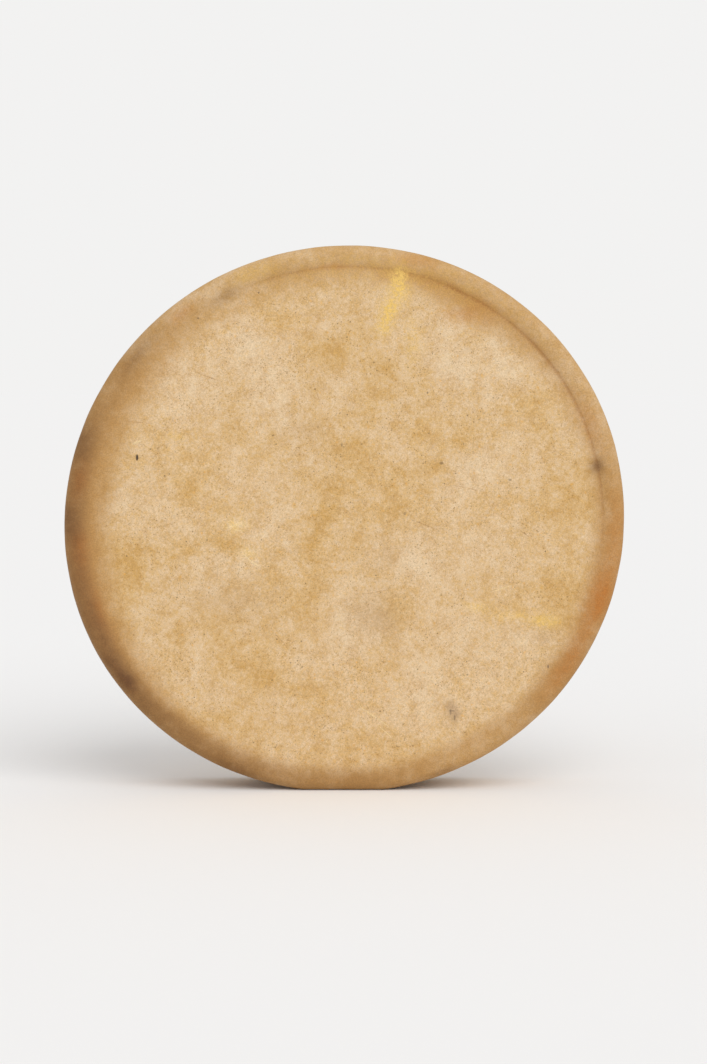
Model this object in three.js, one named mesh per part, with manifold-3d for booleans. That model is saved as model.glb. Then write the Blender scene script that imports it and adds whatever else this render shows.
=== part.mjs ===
// A hand-held ritual frame drum: one rawhide skin, drawn wet over a bent wooden hoop and laced
// across the open back to a hand ring. Millimetres, +Z up, playing face towards -Y.
// The drum stands on the small flat spot at the foot of its rim.
import * as THREE from 'three';
import { mergeVertices } from 'three/addons/utils/BufferGeometryUtils.js';
import Module from 'manifold-3d';

const wasm = await Module();
wasm.setup();

// Driving dimensions. "Inset" is a distance inwards from the drum's outline.
const RIM_RADIUS = 198.7; // mean radius over the skin
const DEPTH = 60; // front crown to back edge
const SKIN = 1.5; // thickness of the rawhide
const GAP = 0.3; // clearance between pieces that touch
const HOOP_INNER_INSET = 16; // inner face of the hoop
const CROWN_INSET = 7; // where the rounded shoulder reaches the crown of the front edge
const CREASE_INSET = 10; // where the crown starts to fall towards the face
const FACE_INSET = 19; // where the front edge has run out into the flat face
const FACE_SINK = 1.8; // face below the crown
const BACK_ROUND = 4; // rounding of the back edge
const FLAP_INSET = 30; // free edge of the skin turned in at the back
const FLAP_DROP = 6; // how far that free edge dips below the back edge
const SCALLOP = 1.6; // pull of the lace on the free edge, either way

// The hoop is bent by hand, so its outline is a little out of round: each wave adds a swell that
// peaks at an angle counted from +X towards +Z.
const WAVES = [
  { lobes: 2, swell: 2.6, peak: THREE.MathUtils.degToRad(17) },
  { lobes: 3, swell: 0.5, peak: THREE.MathUtils.degToRad(-41) },
  { lobes: 4, swell: 0.35, peak: THREE.MathUtils.degToRad(37) },
];
const FOOT_CUT = 2; // depth of the flat spot the drum stands on
const DOWN = -Math.PI / 2; // direction of the foot

const LACE_RADIUS = 1.8;
const LACE_SIDES = 6;
const HOLES = 18; // lace holes in the turned-in skin
const HOLE_INSET = 24;
const HOLE_RADIUS = 3;
const RING_RADIUS = 30; // centreline of the hand ring
const RING_TUBE = 4;
const RING_Y = 20;

const ROUND_STEPS = 72; // facets round the drum
const FRONT = -DEPTH / 2;
const BACK = DEPTH / 2;
const PITCH = (2 * Math.PI) / HOLES;
const FLAP_SLOPE = Math.atan2(FLAP_DROP, FLAP_INSET - BACK_ROUND);

// Radius of the hand-bent outline before the foot is flattened.
function bentRadius(angle) {
  let radius = RIM_RADIUS;
  for (const { lobes, swell, peak } of WAVES) {
    radius += swell * Math.cos(lobes * (angle - peak));
  }
  return radius;
}

// Outline with its foot: near the foot it is a straight line square to "down".
const FOOT_DISTANCE = bentRadius(DOWN) - FOOT_CUT;
function outline(angle) {
  const radius = bentRadius(angle);
  const downwards = Math.cos(angle - DOWN);
  return downwards > 0.5 ? Math.min(radius, FOOT_DISTANCE / downwards) : radius;
}

// Takes a point of the perfectly round drum, about the Y axis, to the hand-bent one.
function bend(point) {
  const factor = outline(Math.atan2(point.z, point.x)) / RIM_RADIUS;
  return point.set(point.x * factor, point.y, point.z * factor);
}

function bendGeometry(geometry) {
  const position = geometry.attributes.position;
  const point = new THREE.Vector3();
  for (let i = 0; i < position.count; i += 1) {
    bend(point.fromBufferAttribute(position, i));
    position.setXYZ(i, point.x, point.y, point.z);
  }
  return geometry;
}

// A point given by its distance from the drum's axis, its turn from the top and its depth.
function polar(radius, turn, y) {
  return new THREE.Vector3(radius * Math.sin(turn), y, radius * Math.cos(turn));
}

// Section of the drum's surface, "under" millimetres beneath it, from the edge of the flat face over
// the front edge, down the side and over the back edge, as (radius, y) points.
function frontEdge(under, firstInset) {
  const points = [];
  const steps = 4;
  for (let i = 0; i <= steps; i += 1) {
    const inset = THREE.MathUtils.lerp(firstInset, CREASE_INSET, i / steps);
    const sink = FACE_SINK * THREE.MathUtils.smoothstep(inset, CREASE_INSET, FACE_INSET);
    points.push(new THREE.Vector2(RIM_RADIUS - inset, FRONT + sink + under));
  }
  points.push(new THREE.Vector2(RIM_RADIUS - CROWN_INSET, FRONT + under));
  return points;
}

function roundCorner(centreInset, centreY, radius, from, to, steps) {
  const points = [];
  for (let i = 1; i <= steps; i += 1) {
    const turn = THREE.MathUtils.lerp(from, to, i / steps);
    const outwards = radius * Math.sin(turn);
    points.push(new THREE.Vector2(
      RIM_RADIUS - centreInset + outwards,
      centreY - radius * Math.cos(turn),
    ));
  }
  return points;
}

function sideAndBack(under) {
  const quarter = Math.PI / 2;
  const shoulder = roundCorner(
    CROWN_INSET, FRONT + CROWN_INSET, CROWN_INSET - under, 0, quarter, 4);
  const heelStart = new THREE.Vector2(RIM_RADIUS - under, BACK - BACK_ROUND);
  const heel = roundCorner(
    BACK_ROUND, BACK - BACK_ROUND, BACK_ROUND - under, quarter, Math.PI, 2);
  return [...shoulder, heelStart, ...heel];
}

// A point of the turned-in skin, or of the hoop's back edge under it.
function flapPoint(inset, under) {
  const drop = (inset - BACK_ROUND) * Math.tan(FLAP_SLOPE);
  return new THREE.Vector2(RIM_RADIUS - inset, BACK - drop - under / Math.cos(FLAP_SLOPE));
}

// Closed solids for manifold-3d, and back.
function toManifold(geometry) {
  const bare = geometry.clone();
  bare.deleteAttribute('normal');
  bare.deleteAttribute('uv');
  const merged = mergeVertices(bare, 1e-3);
  const index = merged.index.array;
  const triangles = [];
  for (let i = 0; i < index.length; i += 3) {
    const [a, b, c] = index.slice(i, i + 3);
    if (a !== b && b !== c && c !== a) {
      triangles.push(a, b, c);
    }
  }
  const mesh = new wasm.Mesh({
    numProp: 3,
    vertProperties: new Float32Array(merged.attributes.position.array),
    triVerts: new Uint32Array(triangles),
  });
  return new wasm.Manifold(mesh);
}

function fromManifold(solid) {
  const mesh = solid.getMesh();
  const geometry = new THREE.BufferGeometry();
  geometry.setAttribute('position', new THREE.BufferAttribute(mesh.vertProperties, 3));
  geometry.setIndex(new THREE.BufferAttribute(mesh.triVerts, 1));
  geometry.computeVertexNormals();
  return geometry;
}

function lathe(profile) {
  const firstFacet = Math.PI / ROUND_STEPS; // sets one facet flat on the ground
  return new THREE.LatheGeometry(profile, ROUND_STEPS, firstFacet, 2 * Math.PI);
}

// The free edge is drawn in at each lace hole and slack between the holes.
function scallop(geometry) {
  const position = geometry.attributes.position;
  const firstInset = HOOP_INNER_INSET + SKIN;
  for (let i = 0; i < position.count; i += 1) {
    const x = position.getX(i);
    const z = position.getZ(i);
    const radius = Math.hypot(x, z);
    const reach = (RIM_RADIUS - radius - firstInset) / (FLAP_INSET - firstInset);
    if (position.getY(i) > 0 && reach > 0) {
      const pull = SCALLOP * reach * Math.cos(HOLES * Math.atan2(x, z));
      position.setX(i, x * (1 - pull / radius));
      position.setZ(i, z * (1 - pull / radius));
    }
  }
  return geometry;
}

function drumheadGeometry() {
  const surface = (under) => [
    new THREE.Vector2(0, FRONT + FACE_SINK + under),
    ...frontEdge(under, FACE_INSET),
    ...sideAndBack(under),
    flapPoint(HOOP_INNER_INSET, under),
    flapPoint(FLAP_INSET, under),
  ];
  const profile = [...surface(0), ...surface(SKIN).reverse()];
  const holeLength = 4 * SKIN + FLAP_DROP;
  let skin = toManifold(bendGeometry(scallop(lathe(profile))));
  for (let hole = 0; hole < HOLES; hole += 1) {
    const cutter = new THREE.CylinderGeometry(HOLE_RADIUS, HOLE_RADIUS, holeLength, 8);
    const centre = flapPoint(HOLE_INSET, SKIN / 2);
    const place = bend(polar(centre.x, hole * PITCH, centre.y));
    cutter.translate(place.x, place.y, place.z);
    skin = skin.subtract(toManifold(cutter));
  }
  return fromManifold(skin);
}

function hoopGeometry() {
  const under = SKIN + GAP;
  const profile = [
    ...frontEdge(under, HOOP_INNER_INSET),
    ...sideAndBack(under),
    flapPoint(HOOP_INNER_INSET, under),
  ];
  profile.push(profile[0].clone());
  return bendGeometry(lathe(profile));
}

function handRingGeometry() {
  const ring = new THREE.TorusGeometry(RING_RADIUS, RING_TUBE, 8, 32);
  ring.rotateX(Math.PI / 2);
  ring.translate(0, RING_Y, 0);
  return bendGeometry(ring);
}

// One lace hole, passed from the open back to the inside: the lace comes over the free edge, dips
// through the hole and turns along the back of the skin, towards the next hole or the last one.
function throughHole(hole, side) {
  const turn = hole * PITCH;
  const skin = (inset) => flapPoint(inset, 0).y;
  const clear = LACE_RADIUS + GAP;
  const radius = RIM_RADIUS - HOLE_INSET;
  const inside = skin(HOLE_INSET) - SKIN - clear;
  const stations = [
    [FLAP_INSET - HOLE_INSET + 3, 0, skin(FLAP_INSET) + clear],
    [2.6, 0, skin(HOLE_INSET + 2.6) + clear + 0.2],
    [0.7, 0, skin(HOLE_INSET) + clear - 1],
    [0, 0, skin(HOLE_INSET) - 0.7],
    [0, 0.6, inside],
    [0, 2.4, inside - 2],
    [0, 6, inside - 2.6],
  ];
  return stations.map(([inwards, along, y]) => {
    const distance = radius - inwards;
    return polar(distance, turn + (side * along) / distance, y);
  });
}

// A turn round the hand ring, from its back over the hole to its front. "from" and "to" are angles
// round the ring's tube, 0 at the back and a right angle at the inside.
function roundRing(turn, sway, from, to, steps) {
  const reach = RING_TUBE + GAP + LACE_RADIUS;
  const stations = [];
  for (let i = 0; i <= steps; i += 1) {
    const share = i / steps;
    const around = THREE.MathUtils.lerp(from, to, share);
    stations.push(polar(
      RING_RADIUS - reach * Math.sin(around),
      turn + sway * (share - 0.5),
      RING_Y + reach * Math.cos(around),
    ));
  }
  return stations;
}

// The route of the whole lace: out from the ring, through a pair of holes, back to the ring and
// round it, and so on round the drum. Both ends are hitched to the ring side by side.
function laceRoute() {
  const sway = THREE.MathUtils.degToRad(5);
  const hitch = THREE.MathUtils.degToRad(290);
  const firstRing = -PITCH / 2;
  const stations = roundRing(firstRing + 1.6 * sway, -sway, hitch, 0, 8);
  for (let pair = 0; pair < HOLES / 2; pair += 1) {
    const outHole = 2 * pair;
    stations.push(...throughHole(outHole, 1));
    stations.push(...throughHole(outHole + 1, -1).reverse());
    if (pair < HOLES / 2 - 1) {
      const ringTurn = (outHole + 1.5) * PITCH;
      stations.push(...roundRing(ringTurn, sway, 0, Math.PI, 6));
    }
  }
  stations.push(...roundRing(firstRing - 1.6 * sway, -sway, 0, hitch, 8));
  return stations.map(bend);
}

function lacingGeometry() {
  const stations = laceRoute();
  const route = new THREE.CatmullRomCurve3(stations, false, 'centripetal');
  route.getUtoTmapping = (share) => share; // one step of the tube from station to station
  const section = new THREE.Shape().absarc(0, 0, LACE_RADIUS, 0, 2 * Math.PI);
  return new THREE.ExtrudeGeometry(section, {
    steps: stations.length - 1,
    curveSegments: LACE_SIDES / 2,
    extrudePath: route,
  });
}

function piece(name, geometry, color, roughness) {
  const material = new THREE.MeshStandardMaterial({ color, roughness, metalness: 0 });
  const mesh = new THREE.Mesh(geometry, material);
  mesh.name = name;
  return mesh;
}

const drum = new THREE.Group();
drum.add(piece('drumhead', drumheadGeometry(), 0xd4b282, 0.6));
drum.add(piece('hoop', hoopGeometry(), 0x9a6f42, 0.65));
drum.add(piece('lacing', lacingGeometry(), 0xc9a877, 0.6));
drum.add(piece('hand_ring', handRingGeometry(), 0xa87b4b, 0.6));

// The origin is on the ground, under the middle of the drum.
const box = new THREE.Box3().setFromObject(drum);
drum.position.set(-(box.min.x + box.max.x) / 2, 0, -box.min.z);

const part = new THREE.Group();
part.add(drum);
export default part;
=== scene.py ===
"""A hand-held ritual frame drum: rawhide over a bent wooden hoop, laced at the back to a ring.

The drum stands on the foot of its rim, playing face towards -Y. Lengths named below are in
millimetres, measured from the drum's own axis, and are turned into metres when a mesh is made.
"""
import math

import bpy
import numpy as np
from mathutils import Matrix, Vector, noise


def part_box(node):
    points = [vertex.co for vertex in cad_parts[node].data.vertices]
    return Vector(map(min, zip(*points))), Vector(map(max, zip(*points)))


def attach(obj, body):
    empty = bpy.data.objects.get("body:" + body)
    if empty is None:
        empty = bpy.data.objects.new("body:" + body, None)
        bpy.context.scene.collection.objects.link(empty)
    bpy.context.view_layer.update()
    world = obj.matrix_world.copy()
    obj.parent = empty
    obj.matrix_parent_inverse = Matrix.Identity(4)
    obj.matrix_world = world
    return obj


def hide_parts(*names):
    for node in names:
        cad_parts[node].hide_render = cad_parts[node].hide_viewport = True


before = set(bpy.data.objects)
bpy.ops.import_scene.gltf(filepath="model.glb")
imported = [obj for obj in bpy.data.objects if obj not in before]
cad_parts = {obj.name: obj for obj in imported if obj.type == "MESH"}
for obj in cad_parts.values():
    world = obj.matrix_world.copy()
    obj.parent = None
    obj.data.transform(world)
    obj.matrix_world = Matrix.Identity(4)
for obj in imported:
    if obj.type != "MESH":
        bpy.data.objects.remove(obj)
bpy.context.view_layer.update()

MM = 0.001
TURN = 2 * math.pi

# Sizes shared with the CAD model. An inset counts inwards from the outline.
RIM_RADIUS = 198.7
DEPTH = 60
SKIN = 1.5
GAP = 0.3
HOOP_INNER_INSET = 16
CROWN_INSET = 7
FACE_INSET = 19
FACE_SINK = 1.8
BACK_ROUND = 4
FLAP_INSET = 30
FLAP_DROP = 6
SCALLOP = 1.6
WAVES = ((2, 2.6, math.radians(17)), (3, 0.5, math.radians(-41)), (4, 0.35, math.radians(37)))
FOOT_CUT = 2
DOWN = -math.pi / 2
HOLES = 18
HOLE_INSET = 24
RING_RADIUS = 30
RING_TUBE = 4
RING_Y = 20
# The inset where the skin's crease is deepest.
CREASE_FOOT = 15.6

FRONT = -DEPTH / 2
BACK = DEPTH / 2
PITCH = TURN / HOLES
FLAP_SLOPE = math.atan2(FLAP_DROP, FLAP_INSET - BACK_ROUND)


# ---------------- shape of the drum

def smooth(low, high, value):
    """0 below low, 1 above high, and a smooth rise between; low may be above high."""
    share = np.clip((value - low) / (high - low), 0, 1)
    return share * share * (3 - 2 * share)


def bent_radius(angle):
    """Outline of the hand-bent hoop, over the skin; angle counts from +X towards +Z."""
    radius = RIM_RADIUS
    for lobes, swell, peak in WAVES:
        radius = radius + swell * np.cos(lobes * (angle - peak))
    return radius


FOOT_DISTANCE = bent_radius(DOWN) - FOOT_CUT


def outline(angle):
    """The bent outline with the flat spot at its foot."""
    radius = bent_radius(angle)
    downwards = np.maximum(np.cos(angle - DOWN), 0.5)
    return np.minimum(radius, FOOT_DISTANCE / downwards)


def axis_place():
    """Where the drum's axis crosses the row frame's XZ plane, in metres."""
    angles = np.linspace(0, TURN, 3600, endpoint=False)
    sideways = outline(angles) * np.cos(angles)
    low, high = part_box("drumhead")
    middle = (low.x + high.x) / 2 - (sideways.min() + sideways.max()) / 2 * MM
    return Vector((middle, (low.y + high.y) / 2, low.z + FOOT_DISTANCE * MM))


AXIS = axis_place()


def bend(points):
    """Takes points of the perfectly round drum to the hand-bent one."""
    points = np.array(points, float)
    factor = outline(np.arctan2(points[..., 2], points[..., 0])) / RIM_RADIUS
    points[..., 0] *= factor
    points[..., 2] *= factor
    return points


def polar(radius, turn, y):
    """A point by its distance from the axis, its turn from the top towards +X, and its depth."""
    return np.stack(np.broadcast_arrays(radius * np.sin(turn), y, radius * np.cos(turn)), -1)


def noise_at(points, size, seed=0.0):
    """Smooth noise about -1 to 1 at points in millimetres, with features about size across."""
    offset = Vector((seed * 17.3, seed * 5.1, -seed * 9.7))
    flat = np.asarray(points, float).reshape(-1, 3) / size
    values = [noise.noise(Vector(p) + offset) for p in flat]
    return np.array(values).reshape(np.asarray(points).shape[:-1])


# ---------------- mesh helpers

def add_object(name, data):
    """A new object in the scene."""
    added = bpy.data.objects.new(name, data)
    bpy.context.scene.collection.objects.link(added)
    return added


def make_mesh(name, points, faces, attributes):
    """A smooth-shaded mesh object from points in millimetres about the drum's axis."""
    used = np.zeros(len(points), bool)
    for face in faces:
        used[list(face)] = True
    new_index = np.cumsum(used) - 1
    kept = np.asarray(points)[used] * MM + np.array(AXIS)
    mesh = bpy.data.meshes.new(name)
    mesh.from_pydata(kept.tolist(), [], [[int(new_index[i]) for i in face] for face in faces])
    for key, values in attributes.items():
        layer = mesh.attributes.new(key, "FLOAT", "POINT")
        layer.data.foreach_set("value", np.asarray(values, np.float32)[used])
    mesh.shade_smooth()
    mesh.validate()
    mesh.update()
    return add_object(name, mesh)


def grid_faces(ids, wrap_rows=False):
    """Quads between neighbouring rows of vertex numbers; columns always close round the drum."""
    rows = list(ids)
    if wrap_rows:
        rows.append(ids[0])
    faces = []
    for above, below in zip(rows, rows[1:]):
        right_above, right_below = np.roll(above, -1), np.roll(below, -1)
        faces += np.stack([above, right_above, right_below, below], 1).tolist()
    return faces


def fan_faces(pole, ring, reverse=False):
    """Triangles from one vertex to a ring of vertices."""
    around = np.roll(ring, -1)
    first, second = (around, ring) if reverse else (ring, around)
    return np.stack([np.full_like(ring, pole), second, first], 1).tolist()


# ---------------- the drumhead

COLUMNS = 540
HOLE_CROWDING = 0.45
MIDDLE_INSET = 194  # the innermost ring of the face; a fan of triangles closes it


def column_turns():
    """Turns of the columns round the drum, drawn closer together near the lace holes."""
    even = np.arange(COLUMNS) * TURN / COLUMNS
    return even - HOLE_CROWDING * np.sin(HOLES * even) / HOLES


def arc(centre_inset, centre_y, radius, start, end, steps):
    """Rows of a rounded corner, as (inset, y), from angle start to end; 0 faces the front."""
    turns = np.linspace(start, end, steps + 1)[1:]
    return [(centre_inset - radius * math.sin(t), centre_y - radius * math.cos(t)) for t in turns]


def creased_sink(inset):
    """How far the skin lies below the crown where it curves down to meet the face in a crease."""
    return FACE_SINK * np.clip((inset - CROWN_INSET) / (CREASE_FOOT - CROWN_INSET), 0, 1) ** 2


def slack_sink(inset):
    """The same where the skin runs over the hoop's edge in one easy curve."""
    return FACE_SINK * smooth(CROWN_INSET, FACE_INSET + 4, inset)


def face_rows(under, insets):
    """Rows across the face and the rounded front edge, beneath the surface by under."""
    return [(inset, FRONT + creased_sink(inset) + under) for inset in insets]


def shoulder_rows(under, steps):
    return arc(CROWN_INSET, FRONT + CROWN_INSET, CROWN_INSET - under, 0, math.pi / 2, steps)


def side_rows(under, steps):
    ends = FRONT + CROWN_INSET, BACK - BACK_ROUND
    return [(under, y) for y in np.linspace(*ends, steps + 1)[1:]]


def heel_rows(under, steps):
    centre_y = BACK - BACK_ROUND
    return arc(BACK_ROUND, centre_y, BACK_ROUND - under, math.pi / 2, math.pi, steps)


def flap_y(inset, under=0.0):
    drop = (inset - BACK_ROUND) * math.tan(FLAP_SLOPE)
    return BACK - drop - under / math.cos(FLAP_SLOPE)


def flap_rows(under, insets):
    return [(inset, flap_y(inset, under)) for inset in insets]


CREASE_TURN = math.radians(38)
FLAP_INSETS = np.concatenate([np.linspace(5.4, 18, 9), np.linspace(19.2, FLAP_INSET, 10)])


def scallop(turn, inset):
    """How far the turned-in skin is drawn inwards: most at its free edge, by each lace hole."""
    reach = np.clip((inset - HOOP_INNER_INSET) / (FLAP_INSET - HOOP_INNER_INSET), 0, 1)
    return SCALLOP * reach * np.cos(HOLES * turn)


def pleat_wave(turn, place):
    """The pleats gathered into the back edge: high on a fold, lowest in the furrow beside it."""
    drift = noise_at(place, 60, 5) * 0.9
    wave = np.cos(3 * HOLES * turn + 2.2 * drift) + 0.6 * np.cos(5 * HOLES * turn - 4 * drift)
    return wave - 0.9 * np.exp(-((wave + 1.1) / 0.35) ** 2)


def skin_relief(turn, inset, y, place):
    """Height of the hide's own waves and puckers over the plain section, in millimetres."""
    along = np.clip((y - FRONT - CROWN_INSET) / (DEPTH - CROWN_INSET), 0, 1)
    on_back = y > 0
    on_face = smooth(FACE_INSET - 6, FACE_INSET + 6, inset) * ~on_back
    on_flap = smooth(3, 9, inset) * on_back
    broad = noise_at(place, 55, 1) * 0.28 + noise_at(place, 17, 2) * 0.07
    lumps = noise_at(place, 24, 3) * 0.22 + noise_at(place, 9, 4) * 0.06
    height = broad * on_face + lumps * (1 - on_face)
    # Only the upper right of the edge is creased sharply; elsewhere the skin runs on in a curve.
    slackness = 1 - smooth(0.3, 0.75, np.cos(turn - CREASE_TURN) + 0.06 * noise_at(place, 30, 7))
    height += (creased_sink(inset) - slack_sink(inset)) * slackness * ~on_back
    # The slack of the hide is gathered into pleats that grow towards the back edge.
    height += 0.3 * pleat_wave(turn, place) * along ** 2 * on_back * (1 - 0.3 * on_flap)
    # Between holes the turned-in skin bellies up; at each hole the lace pulls it down.
    tent = np.cos(HOLES * turn)
    height -= 0.9 * tent * on_flap * smooth(HOOP_INNER_INSET - 6, FLAP_INSET, inset)
    return height


def section_normals(rows):
    """Unit normals of a section of (inset, y) rows, pointing out of the drum, as (inset, y)."""
    rows = np.array(rows, float)
    along = np.gradient(rows, axis=0)
    normals = np.stack([along[:, 1], -along[:, 0]], 1)
    return -normals / np.linalg.norm(normals, axis=1)[:, None]


def reach_in(inset, y):
    """How far a row of the section is in from the outline; less than 0 from the side onwards."""
    if y <= FRONT + CROWN_INSET:
        return inset
    if inset <= SKIN and y < BACK - BACK_ROUND:
        return FRONT + CROWN_INSET - y
    return CROWN_INSET - DEPTH - inset


def drumhead_mesh():
    """The whole skin as one closed shell with its lace holes cut through."""
    turns = column_turns()
    near_crease = CREASE_FOOT - np.array([-1.9, -1.4, -1, -0.65, -0.3, 0, 0.3, 0.7, 1.2, 1.8])
    face_insets = np.concatenate([np.linspace(MIDDLE_INSET, 24, 56), [21.5, 19.5, 18.2], near_crease,
                                  np.linspace(13, CROWN_INSET, 7)])
    outer = face_rows(0, face_insets) + shoulder_rows(0, 9) + side_rows(0, 16)
    outer += heel_rows(0, 5) + flap_rows(0, FLAP_INSETS)
    inner_insets = np.concatenate([np.linspace(MIDDLE_INSET, 24, 18), [19, 16, 13, 10, 7]])
    inner = face_rows(SKIN, inner_insets) + shoulder_rows(SKIN, 3) + side_rows(SKIN, 4)
    inner += heel_rows(SKIN, 3) + flap_rows(SKIN, FLAP_INSETS)
    lip = [(FLAP_INSET + 0.45, flap_y(FLAP_INSET, SKIN * share)) for share in (0.3, 0.7)]

    def place_rows(rows, lifted):
        rows = np.array(rows, float)
        inset, y = rows[:, :1], rows[:, 1:]
        flat = polar(RIM_RADIUS - inset, turns[None, :], y)
        if lifted:
            lift = skin_relief(turns[None, :] + 0 * inset, inset, y, flat)
            normal = section_normals(rows)
            inset = inset + lift * normal[:, :1]
            y = y + lift * normal[:, 1:]
        pull = scallop(turns[None, :], inset) * (y > 0)
        return polar(RIM_RADIUS - inset - pull, turns[None, :], y)

    outer_points = place_rows(outer, True)
    inner_points = place_rows(inner, False)
    flap_count = len(FLAP_INSETS)
    # The turned-in part keeps its thickness where the outside is lifted.
    lifted_by = outer_points[-flap_count:] - place_rows(outer, False)[-flap_count:]
    inner_points[-flap_count:] += lifted_by
    lip_points = place_rows(lip, False) + lifted_by[-1:]
    ragged = noise_at(outer_points[-1], 9, 6) * 0.5
    for row in (lip_points[0], lip_points[1], outer_points[-1], inner_points[-1]):
        radial = row / np.linalg.norm(row * [1, 0, 1], axis=1)[:, None]
        row += radial * [1, 0, 1] * ragged[:, None]

    grid = np.concatenate([outer_points, lip_points, inner_points[::-1]])
    rows, columns = grid.shape[:2]
    ids = np.arange(rows * columns).reshape(rows, columns)
    outer_flap = ids[len(outer) - flap_count:len(outer)]
    first_inner = len(outer) + len(lip)
    inner_flap = ids[first_inner:first_inner + flap_count][::-1]
    points = grid.reshape(-1, 3)

    removed, walls = cut_lace_holes(points, outer_flap, inner_flap)
    faces = [f for f in grid_faces(ids) if (f[0], f[2]) not in removed]
    points = np.concatenate([points, [grid[0].mean(axis=0), grid[-1].mean(axis=0)]])
    faces += fan_faces(rows * columns, ids[0])
    faces += fan_faces(rows * columns + 1, ids[-1], reverse=True)
    faces += walls
    row_reach = [reach_in(*row) for row in outer + lip + inner[::-1]]
    row_inside = [0.0] * (len(outer) + 1) + [1.0] * (len(inner) + 1)
    reaches = np.append(np.repeat(row_reach, columns), [RIM_RADIUS] * 2)
    inside = np.append(np.repeat(row_inside, columns), [0, 1])
    bent = bend(points)
    bent[:, 2] = np.maximum(bent[:, 2], -FOOT_DISTANCE)
    return bent, faces, reaches, inside


def column_by(hole, step):
    """The column of vertices some steps away from the middle of a lace hole."""
    return (hole * COLUMNS // HOLES + step) % COLUMNS


def cut_lace_holes(points, outer_flap, inner_flap):
    """Opens an oval hole round each lace: moves the edge vertices onto the oval, and returns the
    corners of the faces to leave out and the walls between the two sides of the skin."""
    half_length, half_width = 3.3, 2.5
    reach = 4
    removed, walls = set(), []
    for hole in range(HOLES):
        turn = hole * PITCH
        centre = RIM_RADIUS - HOLE_INSET
        offsets = {}
        for i in range(len(FLAP_INSETS)):
            for step in range(-reach, reach + 1):
                x, _, z = points[outer_flap[i, column_by(hole, step)]]
                radial = math.hypot(x, z) - centre
                sideways = math.remainder(math.atan2(x, z) - turn, TURN) * centre
                offsets[i, step] = radial / half_length, sideways / half_width
        gone = set()
        for i in range(len(FLAP_INSETS) - 1):
            for step in range(-reach, reach):
                corners = [offsets[i + di, step + dj] for di in (0, 1) for dj in (0, 1)]
                if np.hypot(*np.mean(corners, axis=0)) < 1:
                    gone.add((i, step))
        edge = set()
        for i, step in gone:
            sides = {(i - 1, step): ((i, step), (i, step + 1)),
                     (i + 1, step): ((i + 1, step + 1), (i + 1, step)),
                     (i, step - 1): ((i + 1, step), (i, step)),
                     (i, step + 1): ((i, step + 1), (i + 1, step + 1))}
            for neighbour, ends in sides.items():
                if neighbour not in gone:
                    edge.update(ends)
                    first, second = ((row, column_by(hole, at)) for row, at in ends)
                    walls.append([int(v) for v in (outer_flap[first], inner_flap[first],
                                                   inner_flap[second], outer_flap[second])])
            j, k = column_by(hole, step), column_by(hole, step + 1)
            removed.add((int(outer_flap[i, j]), int(outer_flap[i + 1, k])))
            removed.add((int(inner_flap[i + 1, j]), int(inner_flap[i, k])))
        for i, step in edge:
            radial, sideways = offsets[i, step]
            scale = 1 / np.hypot(radial, sideways)
            distance = centre + radial * scale * half_length
            new_turn = turn + sideways * scale * half_width / centre
            for side in (outer_flap, inner_flap):
                vertex = side[i, column_by(hole, step)]
                x, y, z = points[vertex]
                inwards = math.hypot(x, z) - distance
                points[vertex] = polar(distance, new_turn, y - inwards * math.tan(FLAP_SLOPE))
    return removed, walls


# ---------------- the hoop

JOINT_TURN = math.radians(248)


def hoop_mesh():
    """The bent wooden hoop under the skin, with its long lapped joint."""
    under = SKIN + GAP
    turns = np.arange(COLUMNS) * TURN / COLUMNS
    front_insets = np.linspace(HOOP_INNER_INSET - 0.6, 7, 6)
    rows = face_rows(under, front_insets) + shoulder_rows(under, 4) + side_rows(under, 4)
    rows += heel_rows(under, 3) + flap_rows(under, (8, 12, 14.5, HOOP_INNER_INSET - 0.6))
    back_y = flap_y(HOOP_INNER_INSET, under)
    front_y = face_rows(under, [HOOP_INNER_INSET])[0][1]
    across_board = np.linspace(back_y - 0.8, front_y + 0.8, 16)
    inner_ys = np.concatenate([[back_y - 0.2], across_board, [front_y + 0.2]])
    first_inner = len(rows)
    rows += [(HOOP_INNER_INSET, y) for y in inner_ys]
    rows = np.array(rows)
    inset = rows[:, :1] + 0 * turns[None, :]
    y = rows[:, 1:] + 0 * turns[None, :]
    place = polar(RIM_RADIUS - inset, turns[None, :], y)
    on_inner = (np.arange(len(rows)) >= first_inner)[:, None]
    # The two ends of the board lap each other on a slant, one a little proud of the other.
    slant = (turns[None, :] - JOINT_TURN) * RIM_RADIUS + 0.9 * y
    step = smooth(-1.2, 1.2, slant) * smooth(120, 30, slant) * 0.9
    tool_marks = noise_at(place * [1, 4, 1], 34, 11) * 0.18 + noise_at(place, 11, 12) * 0.05
    inset = inset + (step + tool_marks) * on_inner
    points = bend(polar(RIM_RADIUS - inset, turns[None, :], y))
    ids = np.arange(points.shape[0] * points.shape[1]).reshape(points.shape[:2])
    faces = [f[::-1] for f in grid_faces(ids, wrap_rows=True)]
    around = (turns[None, :] - JOINT_TURN) % TURN * RIM_RADIUS * MM + 0 * inset
    marks = {"around": around, "across": inset * MM, "seam": np.clip(1 - np.abs(slant) / 5, 0, 1)}
    return points.reshape(-1, 3), faces, {kind: marks[kind].reshape(-1) for kind in marks}


# ---------------- the hand ring

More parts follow.
